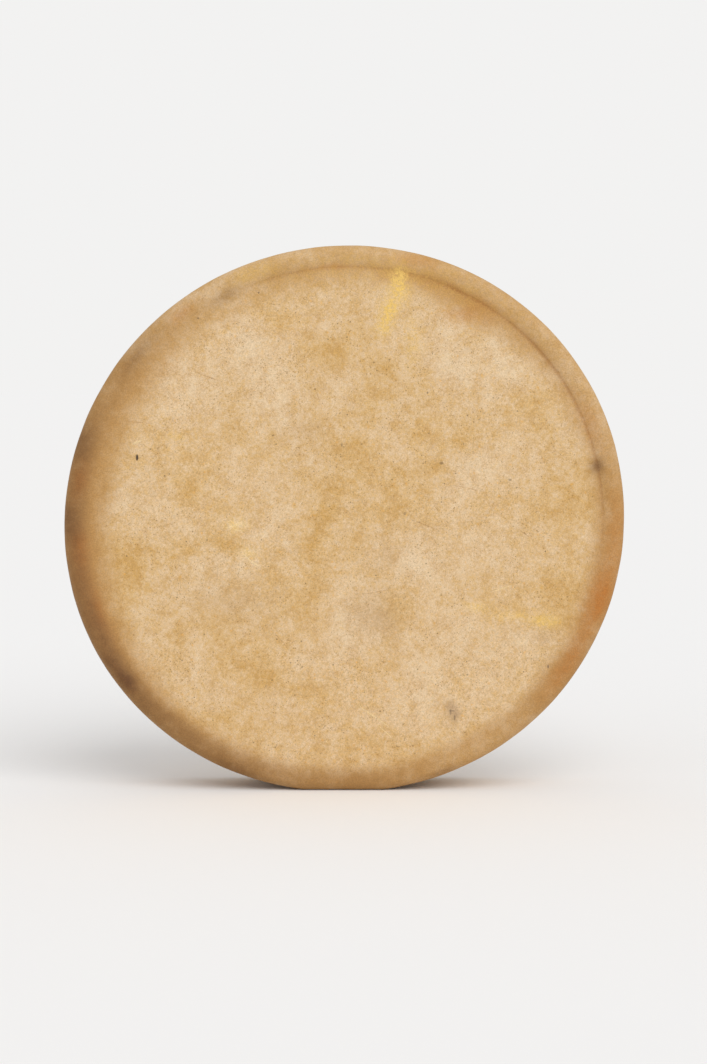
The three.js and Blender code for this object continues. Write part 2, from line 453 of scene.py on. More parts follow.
def ring_mesh():
    """A ring bent from a stout twig, rubbed smooth by the hand."""
    around, across = 180, 28
    turns = np.arange(around) * TURN / around
    sides = np.arange(across) * TURN / across
    centre = polar(RING_RADIUS, turns, RING_Y)
    lumps = noise_at(centre, 12, 21) * 0.35
    tube = RING_TUBE + lumps[:, None] + 0.05 * np.cos(sides[None, :] * 7 + 3 * lumps[:, None])
    reach = RING_RADIUS - tube * np.sin(sides[None, :])
    points = bend(polar(reach, turns[:, None], RING_Y + tube * np.cos(sides[None, :])))
    ids = np.arange(around * across).reshape(around, across)
    faces = grid_faces(ids, wrap_rows=True)
    marks = {"around": np.repeat(turns * RING_RADIUS, across) * MM, "across": reach.reshape(-1) * MM}
    return points.reshape(-1, 3), faces, marks


# ---------------- the lacing

LACE_CLEAR = 2.0
LACE_SPACING = 1.9  # between the cross-sections along the lace
FREE_STRAND = 60  # a strand longer than this is twisted
HALF_TWIST = 19  # the length of one half turn of it


def through_hole(hole, side):
    """Stations of the lace from the open back, over the free edge and down through a hole."""
    turn = hole * PITCH
    radius = RIM_RADIUS - HOLE_INSET
    inside = flap_y(HOLE_INSET) - SKIN - LACE_CLEAR
    stations = [
        (FLAP_INSET - HOLE_INSET + 4, 0, flap_y(FLAP_INSET) + LACE_CLEAR - 0.5),
        (FLAP_INSET - HOLE_INSET, 0, flap_y(FLAP_INSET) + LACE_CLEAR - 0.5),
        (2.4, 0, flap_y(HOLE_INSET + 2.4) + LACE_CLEAR - 0.4),
        (0.6, 0, flap_y(HOLE_INSET) + LACE_CLEAR - 1.4),
        (0, 0, flap_y(HOLE_INSET) - 0.8),
        (0, 0.6, inside),
        (0, 2.4, inside - 1.6),
        (0, 7, inside - 2.2),
    ]
    path = [polar(radius - i, turn + side * a / (radius - i), y) for i, a, y in stations]
    normals = [np.array([0.0, 1.0, 0.0])] * 3 + [None] * 4 + [polar(1.0, turn, 0.0)]
    return path, normals


def round_ring(turn, sway, start, end, steps):
    """Stations of the lace round the hand ring's tube; 0 is at the back, a right angle inside."""
    reach = RING_TUBE + 1.35
    path, normals = [], []
    for share in np.linspace(0, 1, steps + 1):
        around = start + (end - start) * share
        here = turn + sway * (share - 0.5)
        path.append(polar(RING_RADIUS - reach * math.sin(around), here,
                          RING_Y + reach * math.cos(around)))
        normals.append(polar(-math.sin(around), here, math.cos(around)))
    return path, normals


def lace_route():
    """The whole lace: from the ring out through a pair of holes, back and round the ring."""
    sway = math.radians(5)
    hitch = math.radians(290)
    first = -PITCH / 2
    path, normals = round_ring(first + 1.6 * sway, -sway, hitch, 0, 14)
    for pair in range(HOLES // 2):
        out_path, out_normals = through_hole(2 * pair, 1)
        back_path, back_normals = through_hole(2 * pair + 1, -1)
        path += out_path + back_path[::-1]
        normals += out_normals + back_normals[::-1]
        if pair < HOLES // 2 - 1:
            ring_path, ring_normals = round_ring((2 * pair + 1.5) * PITCH, sway, 0, math.pi, 10)
            path += ring_path
            normals += ring_normals
    end_path, end_normals = round_ring(first - 1.6 * sway, -sway, 0, hitch, 14)
    return bend(np.array(path + end_path)), normals + end_normals


def refine(path, normals, spacing):
    """Resamples a path smoothly through its stations, keeping the stations' normals in place."""
    fine, fine_normals = [], []
    padded = np.concatenate([2 * path[:1] - path[1:2], path, 2 * path[-1:] - path[-2:-1]])
    for i in range(len(path) - 1):
        p0, p1, p2, p3 = padded[i:i + 4]
        span = np.linalg.norm(p2 - p1)
        before, after = np.linalg.norm(p1 - p0), np.linalg.norm(p3 - p2)
        out = ((p1 - p0) / before * span + (p2 - p1)) / 2
        into = ((p3 - p2) / after * span + (p2 - p1)) / 2
        if span > 40:  # a drawn strand is straight
            out = into = p2 - p1
        steps = max(2, int(round(span / spacing)))
        for k in range(steps):
            t = k / steps
            h00, h10 = 2 * t**3 - 3 * t**2 + 1, t**3 - 2 * t**2 + t
            h01, h11 = -2 * t**3 + 3 * t**2, t**3 - t**2
            fine.append(h00 * p1 + h10 * out + h01 * p2 + h11 * into)
            fine_normals.append(normals[i] if k == 0 else None)
    fine.append(path[-1])
    fine_normals.append(normals[-1])
    return np.array(fine), fine_normals


def carried_frames(path):
    """A tangent and a normal at each point of a path, the normal carried along without twist."""
    tangents = np.gradient(path, axis=0)
    tangents /= np.linalg.norm(tangents, axis=1)[:, None]
    normal = np.cross(tangents[0], [0.3, 0.2, 0.9])
    normals = []
    for tangent in tangents:
        normal = normal - tangent * normal.dot(tangent)
        normal = normal / np.linalg.norm(normal)
        normals.append(normal)
    return tangents, np.array(normals)


def lace_rolls(path, tangents, carried, wanted):
    """How far the strip is rolled from the carried normal: flat where it bears on something, and
    twisted by whole half turns along each free strand."""
    travelled = np.append(0, np.cumsum(np.linalg.norm(np.diff(path, axis=0), axis=1)))
    at, rolls = [], []
    for i, normal in enumerate(wanted):
        if normal is None:
            continue
        across = np.cross(tangents[i], carried[i])
        roll = math.atan2(normal.dot(across), normal.dot(carried[i]))
        if rolls:
            length = travelled[i] - travelled[at[-1]]
            half_turns = round(length / HALF_TWIST) if length > FREE_STRAND else 0
            aim = rolls[-1] + math.pi * half_turns
            roll += math.pi * round((aim - roll) / math.pi)
        at.append(i)
        rolls.append(roll)
    return np.interp(travelled, travelled[at], rolls), travelled


def lacing_mesh():
    """The rawhide lace: one flat strip, twisted where it runs free."""
    path, wanted = refine(*lace_route(), LACE_SPACING)
    tangents, carried = carried_frames(path)
    rolls, travelled = lace_rolls(path, tangents, carried, wanted)
    across = np.cross(tangents, carried)
    normal = carried * np.cos(rolls)[:, None] + across * np.sin(rolls)[:, None]
    side = np.cross(tangents, normal)
    # The section of the strip is a rounded oblong, u across its width and v through its thickness.
    corners, power = 14, 0.62
    angles = np.arange(corners) * TURN / corners
    u = np.sign(np.cos(angles)) * np.abs(np.cos(angles)) ** power
    v = np.sign(np.sin(angles)) * np.abs(np.sin(angles)) ** power
    marks = np.stack([travelled, 0 * travelled, 0 * travelled], 1)
    width = 2.15 + 0.25 * noise_at(marks, 14, 31) + 0.1 * noise_at(marks, 4, 32)
    height = 1.0 + 0.14 * noise_at(marks, 9, 33)
    tip = smooth(0, 3, travelled) * smooth(travelled[-1], travelled[-1] - 3, travelled)
    width = width * (0.45 + 0.55 * tip)
    cupped = 0.22 * (u[None, :] ** 2 - 0.5)
    points = path[:, None] + side[:, None] * (u[None, :] * width[:, None])[..., None]
    points = points + normal[:, None] * (v[None, :] * height[:, None] + cupped)[..., None]
    ids = np.arange(points.shape[0] * corners).reshape(points.shape[:2])
    faces = grid_faces(ids)
    faces += [ids[0].tolist()[::-1], ids[-1].tolist()]
    from_axis = np.hypot(path[:, 0], path[:, 2])
    held = smooth(RING_RADIUS + 34, RING_RADIUS, from_axis)
    held = held + np.exp(-((from_axis - RIM_RADIUS + HOLE_INSET) / 6) ** 2)
    marks = {"around": np.repeat(travelled, corners) * MM, "held": np.repeat(held, corners),
             "side": (u[None, :] * width[:, None]).reshape(-1) * MM,
             "edge": np.tile(np.abs(u) ** 4, len(path))}
    return points.reshape(-1, 3), faces, marks


# ---------------- materials

def colour(red, green, blue):
    """A linear colour from 8-bit display values."""
    shares = np.array([red, green, blue]) / 255
    linear = np.where(shares <= 0.04045, shares / 12.92, ((shares + 0.055) / 1.055) ** 2.4)
    return (*linear.tolist(), 1)


# How much of its own colour a plain surface on the playing face shows in this light.
FACE_LIGHT = 1.018


def seen(red, green, blue):
    """A surface colour that shows these 8-bit values in the light that falls on the playing face."""
    *linear, _ = colour(red, green, blue)
    return (*(share / FACE_LIGHT for share in linear), 1)


class Shader:
    """Short names for building a node material."""

    def __init__(self, name):
        self.material = bpy.data.materials.new(name)
        self.material.use_nodes = True
        self.nodes = self.material.node_tree.nodes
        self.links = self.material.node_tree.links
        self.nodes.clear()
        self.surface = self.nodes.new("ShaderNodeBsdfPrincipled")
        output = self.nodes.new("ShaderNodeOutputMaterial")
        self.links.new(self.surface.outputs[0], output.inputs[0])
        self.place = self.nodes.new("ShaderNodeTexCoord").outputs["Object"]

    def put(self, socket, value):
        if isinstance(value, bpy.types.NodeSocket):
            self.links.new(value, socket)
        else:
            socket.default_value = value

    def add(self, kind, **inputs):
        """A new node with the given inputs, each a plain value or another node's output."""
        node = self.nodes.new("ShaderNode" + kind)
        for name, value in inputs.items():
            self.put(node.inputs[name.replace("_", " ")], value)
        return node

    def attribute(self, name):
        node = self.add("Attribute")
        node.attribute_name = name
        return node.outputs["Fac"]

    def noise(self, size, detail=3.0, rough=0.55, distort=0.0, place=None):
        """Noise about 0 to 1 with features about size millimetres across."""
        node = self.add("TexNoise", Scale=1 / (size * MM), Detail=detail, Roughness=rough,
                        Distortion=distort, Vector=place or self.place)
        return node.outputs["Fac"]

    def mapped(self, source, scale, shift=(0, 0, 0), turn=(0, 0, 0)):
        node = self.add("Mapping", Vector=source, Location=shift, Rotation=turn, Scale=scale)
        return node.outputs[0]

    def lengthwise(self, squeeze, *others):
        """Coordinates whose first runs along the piece, squeezed so that the grain is drawn out."""
        node = self.add("CombineXYZ")
        run = self.times(self.attribute("around"), squeeze)
        for socket, value in zip(node.inputs, (run, *others)):
            self.put(socket, value)
        return node.outputs[0]

    def cells(self, size, feature="F1", place=None):
        node = self.add("TexVoronoi", Scale=1 / (size * MM), Vector=place or self.place)
        node.feature = feature
        return node.outputs["Distance"]

    def spot(self, right, up, half_width, half_height, tilt=0.0):
        """1 in a small ellipse on the face, placed from the drum's middle, and 0 outside it."""
        ellipse = self.add("Mapping", Vector=self.place, Rotation=(0, math.radians(tilt), 0),
                           Location=AXIS + Vector((right, FRONT, up)) * MM,
                           Scale=Vector((half_width, DEPTH / 2, half_height)) * MM)
        ellipse.vector_type = "TEXTURE"
        length = self.add("VectorMath", Vector=ellipse.outputs[0])
        length.operation = "LENGTH"
        return self.between(length.outputs["Value"], 1.2, 0.6)

    def math(self, operation, a, b=0.0, clamp=False):
        node = self.add("Math")
        node.operation = operation
        node.use_clamp = clamp
        self.put(node.inputs[0], a)
        self.put(node.inputs[1], b)
        return node.outputs[0]

    def times(self, a, b):
        return self.math("MULTIPLY", a, b)

    def plus(self, a, b):
        return self.math("ADD", a, b)

    def total(self, *weighted):
        """The sum of (value, weight) pairs."""
        result = 0.0
        for value, weight in weighted:
            result = self.plus(result, self.times(value, weight))
        return result

    def ramp(self, value, *stops):
        """Colours by position, blended evenly between them."""
        node = self.add("ValToRGB", Fac=value)
        elements = node.color_ramp.elements
        while len(elements) < len(stops):
            elements.new(0.5)
        for element, (position, tint) in zip(elements, stops):
            element.position = position
            element.color = tint
        return node.outputs["Color"]

    def tone(self, value):
        """The same value in all three channels."""
        return self.add("CombineColor", Red=value, Green=value, Blue=value).outputs["Color"]

    def between(self, value, low, high, to_low=0.0, to_high=1.0):
        """Smooth step from to_low at low to to_high at high."""
        node = self.add("MapRange", Value=value, From_Min=low, From_Max=high, To_Min=to_low,
                        To_Max=to_high)
        node.interpolation_type = "SMOOTHSTEP"
        return node.outputs["Result"]

    def mix(self, share, a, b, blend="MIX"):
        node = self.add("Mix")
        node.data_type = "RGBA"
        node.blend_type = blend
        self.put(node.inputs[0], share)
        self.put(node.inputs[6], a)
        self.put(node.inputs[7], b)
        return node.outputs[2]

    def bump(self, height):
        return self.add("Bump", Strength=0.5, Distance=0.3 * MM, Height=height).outputs[0]

    def finish(self, base, roughness, normal, specular):
        inputs = self.surface.inputs
        self.put(inputs["Base Color"], base)
        self.put(inputs["Roughness"], roughness)
        if normal:
            self.links.new(normal, inputs["Normal"])
        inputs["Specular IOR Level"].default_value = specular
        return self.material


# Marks on the playing face by kind, seen from the front: centre to the right of and above the
# drum's middle, half width, half height and strength.
FACE_MARKS = {
    "pale": (
        (-73, 124, 14, 22, 0.9), (-116, 85, 17, 20, 0.8), (-49, 93, 18, 22, 0.7),
        (-54, 30, 24, 20, 0.6), (-61, -6, 14, 12, 0.6), (75, 116, 20, 16, 0.8),
        (110, 112, 18, 18, 0.7), (96, 40, 24, 14, 0.8), (122, 61, 12, 14, 0.5),
        (55, -29, 18, 18, 0.7), (87, -27, 16, 14, 0.7), (4, -69, 16, 24, 0.8),
        (63, -118, 24, 24, 0.9), (126, -84, 14, 12, 0.5), (89, -80, 16, 12, 0.5),
        (-30, -100, 14, 10, 0.5), (47, 85, 9, 10, 0.5), (-116, 112, 12, 10, 0.5),
        (-78, -2, 8, 5, 1.6), (-69, -22, 7, 4, 1.4)),
    "tan": (
        (-45, 145, 14, 8, 0.7), (-20, 122, 12, 9, 0.9), (-3, 118, 9, 8, 1.0), (5, 133, 16, 10, 0.7),
        (29, 110, 7, 7, 0.9), (18, 85, 9, 24, 0.6), (12, 47, 12, 12, 1.0), (2, 28, 10, 10, 0.5),
        (-13, 5, 9, 10, 1.1), (-20, -25, 7, 22, 0.7), (-31, -59, 8, 14, 0.5), (51, 63, 8, 10, 0.7),
        (59, 89, 16, 10, 0.5), (81, 59, 13, 10, 0.8), (66, 41, 6, 4, 0.8), (-113, 19, 7, 13, 0.9),
        (-65, 45, 10, 8, 0.6), (96, 15, 6, 12, 0.8), (-154, -33, 14, 16, 0.9), (-85, -17, 12, 6, 0.8),
        (-93, -73, 9, 7, 0.6), (37, -61, 12, 12, 0.6), (-57, -114, 18, 10, 0.7),
        (-20, -128, 7, 12, 0.6), (83, -114, 7, 9, 0.6), (155, -47, 16, 18, 0.7),
        (138, 79, 16, 12, 0.5), (159, 6, 18, 26, 0.5), (119, -63, 7, 6, 0.8), (-98, -143, 26, 8, 0.5),
        (39, 12, 20, 14, 0.4), (-133, -17, 30, 12, 0.4), (0, -160, 50, 12, 0.4)),
    "grey": (
        (22, -67, 16, 16, 0.8), (-77, -57, 26, 16, 0.5), (77, -138, 4, 6, 1.6),
        (-30, 61, 14, 10, 0.4), (30, -25, 12, 10, 0.4), (146, -80, 9, 7, 0.6)),
    "fat": (
        (39, 168, 5, 11, 1.2), (32, 151, 5, 9, 1.2), (27, 139, 5, 6, 0.9), (-78, -2, 8, 5, 0.6),
        (-69, -22, 7, 4, 0.5), (144, -71, 9, 4, 1.0), (48, 128, 6, 14, 0.4), (95, -61, 7, 3, 0.7),
        (120, -68, 14, 3, 0.5), (-120, 61, 6, 3, 0.4)),
    "ochre": (
        (86, 149, 15, 7, 0.6),),
}

# Smaller marks on the rim by kind: angle from +X towards +Z in degrees, inset, half length along
# the rim, half width across it and strength.
RIM_MARKS = {
    "fat": (
        (110, 8, 14, 5, 0.3), (78, 16, 90, 12, 0.3)),
    "ochre": (
        (171, 8, 14, 5, 0.9), (186, 10, 14, 5, 1.0), (343, 9, 22, 8, 1.4), (357, 6, 32, 8, 0.6),
        (75, 5, 16, 5, 0.6), (22, 12, 20, 5, 0.4), (128, 9, 10, 4, 0.5), (200, 14, 18, 4, 0.6),
        (92, 15, 18, 2, 0.5), (196, 9, 50, 7, 0.35), (70, 18, 60, 7, 0.3), (328, 9, 26, 6, 0.9)),
    # Soot marks; those on the outer edge at the left also carry painted shade.
    "soot_and_shade": (
        (163, 2, 16, 9, 0.5), (180, 2, 12, 8, 0.4), (141, 8, 16, 4, 0.4), (118, 15, 12, 4, 0.4),
        (216, 9, 9, 5, 0.3), (247, 3, 16, 4, 0.3), (12.5, 16, 6, 4, 0.9), (292, 3, 10, 3, 0.4)),
    # Crease marks: dirt in the crease with painted shade, strongest at the upper right where the
    # crease faces away from the key light.
    "crease_shade_and_stain": (
        (63, 15.5, 24, 2.2, 1.3), (40, 15, 30, 2, 0.5)),
    "clean": (
        (336, 4, 3, 9, 0.9), (334, 15, 14, 5, 0.4)),
}

# How hands and smoke have browned the rim, with painted shade in it: darker on the left and lower
# side, away from the key light, and inward of the crown at the upper right. Every 30 degrees from +X
# towards +Z: strength on the crown and in the crease behind it, the inset where it is half gone, how
# gradually it goes, and how sooty and shaded the outer edge is.
RIM_WEAR_AND_SHADE = (
    (0.88, 0.82, 21, 8, 0.05), (0.48, 0.60, 23, 8, 0.0), (0.62, 1.06, 28, 11, 0.0),
    (0.58, 0.88, 26, 11, 0.0), (0.30, 0.50, 27, 13, 0.1), (0.92, 1.00, 29, 15, 0.4),
    (1.15, 1.20, 29, 14, 1.15), (1.15, 1.10, 25, 12, 1.3), (1.05, 0.86, 19, 9, 0.95),
    (1.00, 0.90, 16, 9, 0.45), (0.66, 0.90, 18, 8, 0.05), (1.00, 1.05, 20, 9, 0.2),
)


def rim_wear(angle):
    """The five values of RIM_WEAR_AND_SHADE at any angle, with smooth steps between."""
    place = np.remainder(angle / TURN, 1) * len(RIM_WEAR_AND_SHADE)
    before = np.floor(place).astype(int)
    share = smooth(0, 1, place - before)[:, None]
    wear = np.array(RIM_WEAR_AND_SHADE)
    return (wear[before % len(wear)] * (1 - share) + wear[(before + 1) % len(wear)] * share).T


def listed(marks):
    return [(kind, mark) for kind, group in marks.items() for mark in group]


def skin_marks(points, reaches, inside):
    """Strength of each kind of mark at each vertex of the drumhead."""
    x, z = points[:, 0], points[:, 2]
    angle = np.arctan2(z, x)
    outside = 1 - inside
    warp_x = noise_at(points, 22, 41) * 7 + noise_at(points, 9, 42) * 2.5
    warp_z = noise_at(points, 22, 43) * 7 + noise_at(points, 9, 44) * 2.5
    layers = {kind: np.zeros(len(points)) for kind in (*FACE_MARKS, *RIM_MARKS)}
    for kind, (right, up, half_width, half_height, strength) in listed(FACE_MARKS):
        drift = 0.3 if kind == "fat" else 1.0
        across = (x + drift * warp_x - right) / half_width
        upwards = (z + drift * warp_z - up) / half_height
        spot = np.exp(-0.9 * (across ** 2 + upwards ** 2))
        layers[kind] += strength * spot * (reaches > 0) * outside
    for kind, (degrees, inset, half_length, half_width, strength) in listed(RIM_MARKS):
        away = np.remainder(angle - math.radians(degrees) + math.pi, TURN) - math.pi
        along = (away * RIM_RADIUS + warp_x * 0.4) / half_length
        across = (reaches - inset + warp_z * 0.25) / half_width
        layers[kind] += strength * np.exp(-0.9 * (along ** 2 + across ** 2)) * outside
    # Rim browning from handling and smoke, mixed with painted shade: strongest on the left and lower
    # side, away from the key light.
    crown, valley, limit, fade, edge_soot_and_shade = rim_wear(angle)
    limit = limit + noise_at(points, 30, 45) * 2.5
    on_side = smooth(-52, -6, reaches) * outside
    strength = crown + (valley - crown) * smooth(9, 16, reaches)
    worn = strength * smooth(limit + fade, limit - fade, reaches) * on_side
    layers["rim"] = np.clip(worn - 0.6 * layers.pop("clean"), 0, None)
    # Soot and painted shade along the outer edge, a little lighter at the very edge.
    smoked_and_shaded = (0.72 - 0.2 * smooth(5, 0, reaches)) * smooth(23, 8, reaches) * on_side
    layers["soot_and_shade"] += edge_soot_and_shade * smoked_and_shaded
    # Painted shade with some dirt along the crease at the upper right, where its inner slope faces
    # away from the key light.
    upper_right = smooth(0.35, 0.85, np.sin(angle + CREASE_TURN))
    from_crease = reaches - CREASE_FOOT
    width = np.where(from_crease > 0, 1.5, 0.8)
    layers["crease_shade_and_stain"] += np.exp(-(from_crease / width) ** 2) * upper_right * outside
    # On the turned-in part: handling along the back edge, darker furrows between the pleats, a dried
    # free edge, and amber and darker skin round each hole.
    flap_inset = CROWN_INSET - DEPTH - reaches
    turn = np.arctan2(x, z)
    handled = 0.55 + 0.3 * noise_at(points, 26, 46)
    layers["rim"] += handled * np.exp(-((flap_inset + 1) / 6) ** 2) * outside
    # Darker in the furrows between the pleats, keyed to their low points.
    furrow = smooth(-0.5, -1.6, pleat_wave(turn, points)) * outside
    layers["crease_shade_and_stain"] += 0.75 * furrow * smooth(-34, -4, flap_inset) * smooth(18, 6, flap_inset)
    layers["crease_shade_and_stain"] += 0.9 * smooth(FLAP_INSET - 4, FLAP_INSET + 0.5, flap_inset)
    from_turn = np.remainder(turn + PITCH / 2, PITCH) - PITCH / 2
    from_hole = np.hypot(from_turn * (RIM_RADIUS - HOLE_INSET), flap_inset - HOLE_INSET)
    layers["ochre"] += 0.8 * np.exp(-(from_hole / 9) ** 2)
    layers["soot_and_shade"] += 0.9 * np.exp(-(from_hole / 4.2) ** 2)
    layers["flesh"] = inside
    return layers


# Single small dark specks on the face: right of and above the middle, half width, half height and
# strength.
SPECKS = (
    (-148, 46, 0.9, 2.4, 1.0), (43, 6, 1.1, 1.3, 0.4), (59, 92, 0.7, 0.7, 0.6),
    (118, 30, 1.3, 0.8, 0.5), (-61, 163, 0.7, 0.7, 0.6), (-104, 145, 0.8, 0.6, 0.6),
    (69, 42, 1.6, 1.1, 0.5), (-2, 55, 0.6, 1.6, 0.5), (76, -137, 0.8, 2.4, 0.4),
    (79, -141, 0.7, 2.0, 0.45), (77, -136, 2.4, 0.6, 0.35), (146, -104, 0.7, 1.6, 0.6),
)
# Scratches and hairlines by shade: right of and above the middle, half length, half width, tilt.
SCRATCHES = {
    "pale": (
        (-67, -28, 7, 0.35, 38), (-64, -30, 5, 0.3, 32), (-70, -25, 4, 0.3, 45),
        (-80, -3, 6, 0.5, -12), (-76, -6, 4, 0.4, 8), (21, -140, 14, 0.5, 35), (30, -152, 9, 0.4, 42),
        (-148, 57, 4, 0.8, -22), (112, -48, 9, 0.4, -18)),
    "dark": (
        (-147, 71, 10, 0.35, 5), (57, -2, 11, 0.4, 22), (46, 8, 5, 0.35, 60), (24, -50, 9, 0.35, -10),
        (-96, 103, 8, 0.3, 20), (128, -8, 7, 0.3, 35), (-20, 92, 8, 0.35, 70), (88, 24, 12, 0.3, 12),
        (-45, -86, 9, 0.3, 50)),
}


def rawhide(name):
    """Dry untanned hide: mottled cream and tan, hair pores, faint veins, a rubbed waxy surface."""
    s = Shader(name)
    broad = s.noise(38, 3, 0.55, 0.5)
    patch = s.noise(14, 3, 0.6, 0.3)
    mottle = s.noise(5.5, 4, 0.65, 0.3)
    speck = s.noise(2.2, 4, 0.7)
    grain = s.noise(0.8, 2, 0.6)
    warm = s.total((broad, 0.9), (patch, 0.9), (mottle, 1.0), (speck, 1.3), (s.attribute("tan"), 0.42),
                   (s.attribute("pale"), -0.36), (0.5, -4.1))
    base = s.ramp(s.plus(warm, 0.5), (0.0, seen(229, 202, 164)), (0.38, seen(222, 190, 147)),
                  (0.62, seen(217, 181, 128)), (1.0, seen(204, 161, 95)))
    golden = s.between(s.noise(3.4, 4, 0.7, 0.2), 0.5, 0.72)
    base = s.mix(s.times(golden, 0.4), base, seen(222, 178, 102))
    # Wisps: broken threads of darker hide between the paler grains.
    for size, strength in ((8, 0.3), (3.6, 0.34)):
        ridge = s.math("ABSOLUTE", s.plus(s.noise(size, 3, 0.6, 0.8), -0.5))
        wisp = s.times(s.between(ridge, 0.04, 0.0), s.between(patch, 0.4, 0.62))
        base = s.mix(s.times(wisp, strength), base, seen(186, 142, 86))
    broken = s.total((patch, 0.8), (mottle, 1.2), (speck, 1.0), (0.5, -1.0))
    gentle = s.total((broad, 0.6), (patch, 0.7), (mottle, 0.3), (0.5, 0.4))
    gritty = s.between(s.plus(s.times(speck, 0.6), s.times(mottle, 0.4)), 0.42, 0.58, 0.4, 1.25)

    def dots(size, edge, core, mask, place=None):
        """Small dots, solid out to core and gone at edge, kept where the mask is high."""
        return s.times(s.between(s.cells(size, place=place), edge, core), mask)

    # Hair pores: small dark flecks, thicker in some places than in others, rubbed away at the rim.
    unrubbed = s.math("SUBTRACT", 1.0, s.times(s.attribute("rim"), 0.75), clamp=True)
    crowd = s.times(s.between(s.noise(26, 3, 0.6), 0.4, 0.66, 0.4, 1.0), unrubbed)
    fleck = dots(1.7, 0.32, 0.16, s.between(speck, 0.44, 0.54))
    base = s.mix(s.times(s.times(fleck, crowd), 0.72), base, seen(140, 104, 62))
    # Stray dark flecks, hair ends left in clusters, dabs of old fat, and bright grains.
    combed = s.mapped(s.place, (1.7, 1, 1), (0.12, 0, 0.4), (0, 0.7, 0))
    elsewhere = s.mapped(s.place, (1, 1, 1), (0.3, 0.1, 0.2))
    clusters = s.between(s.noise(23, 2), 0.5, 0.6)
    for scattered, strength, tint in (
            (dots(6, 0.11, 0.06, s.between(mottle, 0.48, 0.54)), 0.75, (116, 94, 62)),
            (dots(3.4, 0.16, 0.09, clusters, combed), 0.8, (122, 98, 58)),
            (dots(8, 0.17, 0.07, s.between(speck, 0.44, 0.56), elsewhere), 0.5, (228, 170, 80)),
            (dots(4.2, 0.14, 0.06, s.between(patch, 0.44, 0.56), elsewhere), 0.5, (238, 214, 168))):
        base = s.mix(s.times(s.times(scattered, unrubbed), strength), base, seen(*tint))
    # Marks by kind; the rim, crease and soot tints carry painted shade as well as stains: the rim's
    # left and lower side away from the key light, and the crease at the upper right.
    for kind, tint, amount, pattern in (
            ("grey", (190, 158, 120), 0.6, broken), ("rim", (184, 139, 80), 0.95, gentle),
            ("crease_shade_and_stain", (150, 98, 46), 0.38, gentle), ("ochre", (190, 122, 52), 0.6, broken),
            ("soot_and_shade", (108, 70, 34), 0.75, gentle), ("fat", (236, 196, 108), 0.8, gritty)):
        share = s.math("MULTIPLY", s.times(s.attribute(kind), pattern), amount, clamp=True)
        base = s.mix(share, base, seen(*tint))
    # The flesh side is paler and fibrous, with more of the veins showing.
    flesh = s.attribute("flesh")
    grain_side = s.math("SUBTRACT", 1.0, flesh)
    matted = s.noise(7, 5, 0.72, 2.2)
    fibre = s.between(s.math("ABSOLUTE", s.plus(matted, -0.5)), 0.035, 0.0)
    clouded = s.total((patch, 0.9), (speck, 0.6), (broad, 0.9), (0.5, -1.4))
    raw = s.ramp(clouded, (0.3, seen(206, 166, 108)), (0.7, seen(240, 214, 166)))
    base = s.mix(s.times(flesh, 0.85), base, raw)
    base = s.mix(s.times(s.times(fibre, flesh), 0.6), base, seen(250, 232, 196))
    for right, up, half_width, half_height, strength in SPECKS:
        dot = s.times(s.spot(right, up, half_width, half_height), grain_side)
        base = s.mix(s.times(dot, strength), base, seen(78, 62, 48))
    shades = {"pale": (seen(240, 214, 160), 0.6), "dark": (seen(160, 112, 66), 0.4)}
    for shade, (right, up, half_length, half_width, tilt) in listed(SCRATCHES):
        tint, strength = shades[shade]
        line = s.times(s.spot(right, up, half_length, half_width, tilt), grain_side)
        worn = s.times(line, s.between(speck, 0.35, 0.5))
        base = s.mix(s.times(worn, strength), base, tint)
    fine = s.between(grain, 0.3, 0.7, 0.865, 1.105)
    base = s.mix(1.0, base, s.tone(fine), "MULTIPLY")
    # Veins: thin branching lines under the surface.
    vein = s.between(s.cells(34, "DISTANCE_TO_EDGE", s.mapped(s.place, (1, 1, 1.4))), 0.012, 0.0)
    vein = s.times(vein, s.between(s.noise(24, 2), 0.5, 0.62))
    base = s.mix(s.times(vein, s.total((0.5, 0.4), (flesh, 0.35))), base, seen(176, 132, 80))
    height = s.total((grain, 0.4), (mottle, 0.6), (fleck, -0.5), (s.times(fibre, flesh), 0.7))
    return s.finish(base, s.between(mottle, 0.3, 0.7, 0.5, 0.66), s.bump(height), 0.35)


def wood(name, light, dark):
    """Straight-grained wood, with its grain along the piece, open pores and a few drying cracks."""
    s = Shader(name)
    depth = s.add("SeparateXYZ", Vector=s.place).outputs["Y"]
    across = s.attribute("across")
    grained = s.lengthwise(0.035, depth, across)
    rings = s.noise(2.6, 4, 0.6, 0.5, grained)
    fibres = s.noise(0.7, 3, 0.7, 0.2, grained)
    cloud = s.noise(40, 3, 0.6)
    base = s.mix(s.between(rings, 0.35, 0.65), light, dark)
    base = s.mix(s.between(fibres, 0.45, 0.75, 0, 0.6), base, dark)
    pored = s.lengthwise(0.12, depth, across)
    pores = s.between(s.noise(0.5, 2, 0.6, 0, pored), 0.6, 0.68)
    cracks = s.between(s.math("ABSOLUTE", s.plus(s.noise(3.4, 2, 0.5, 0.3, grained), -0.5)), 0.02, 0.0)
    cracks = s.times(cracks, s.between(s.noise(15, 2), 0.5, 0.6))
    worn = s.times(s.between(cloud, 0.4, 0.7), s.between(s.noise(6, 3), 0.4, 0.7))
    base = s.mix(s.times(worn, 0.35), base, light)
    base = s.mix(1.0, base, s.tone(s.between(cloud, 0.35, 0.65, 0.82, 1.06)), "MULTIPLY")
    base = s.mix(s.times(pores, 0.45), base, colour(74, 50, 30))
    base = s.mix(s.times(cracks, 0.6), base, colour(52, 36, 24))
    base = s.mix(s.times(s.attribute("seam"), 0.6), base, colour(60, 40, 24))
    height = s.total((rings, 1.0), (fibres, 0.6), (pores, -0.6), (cracks, -1.2))
    return s.finish(base, s.between(fibres, 0.3, 0.8, 0.5, 0.72), s.bump(height), 0.35)


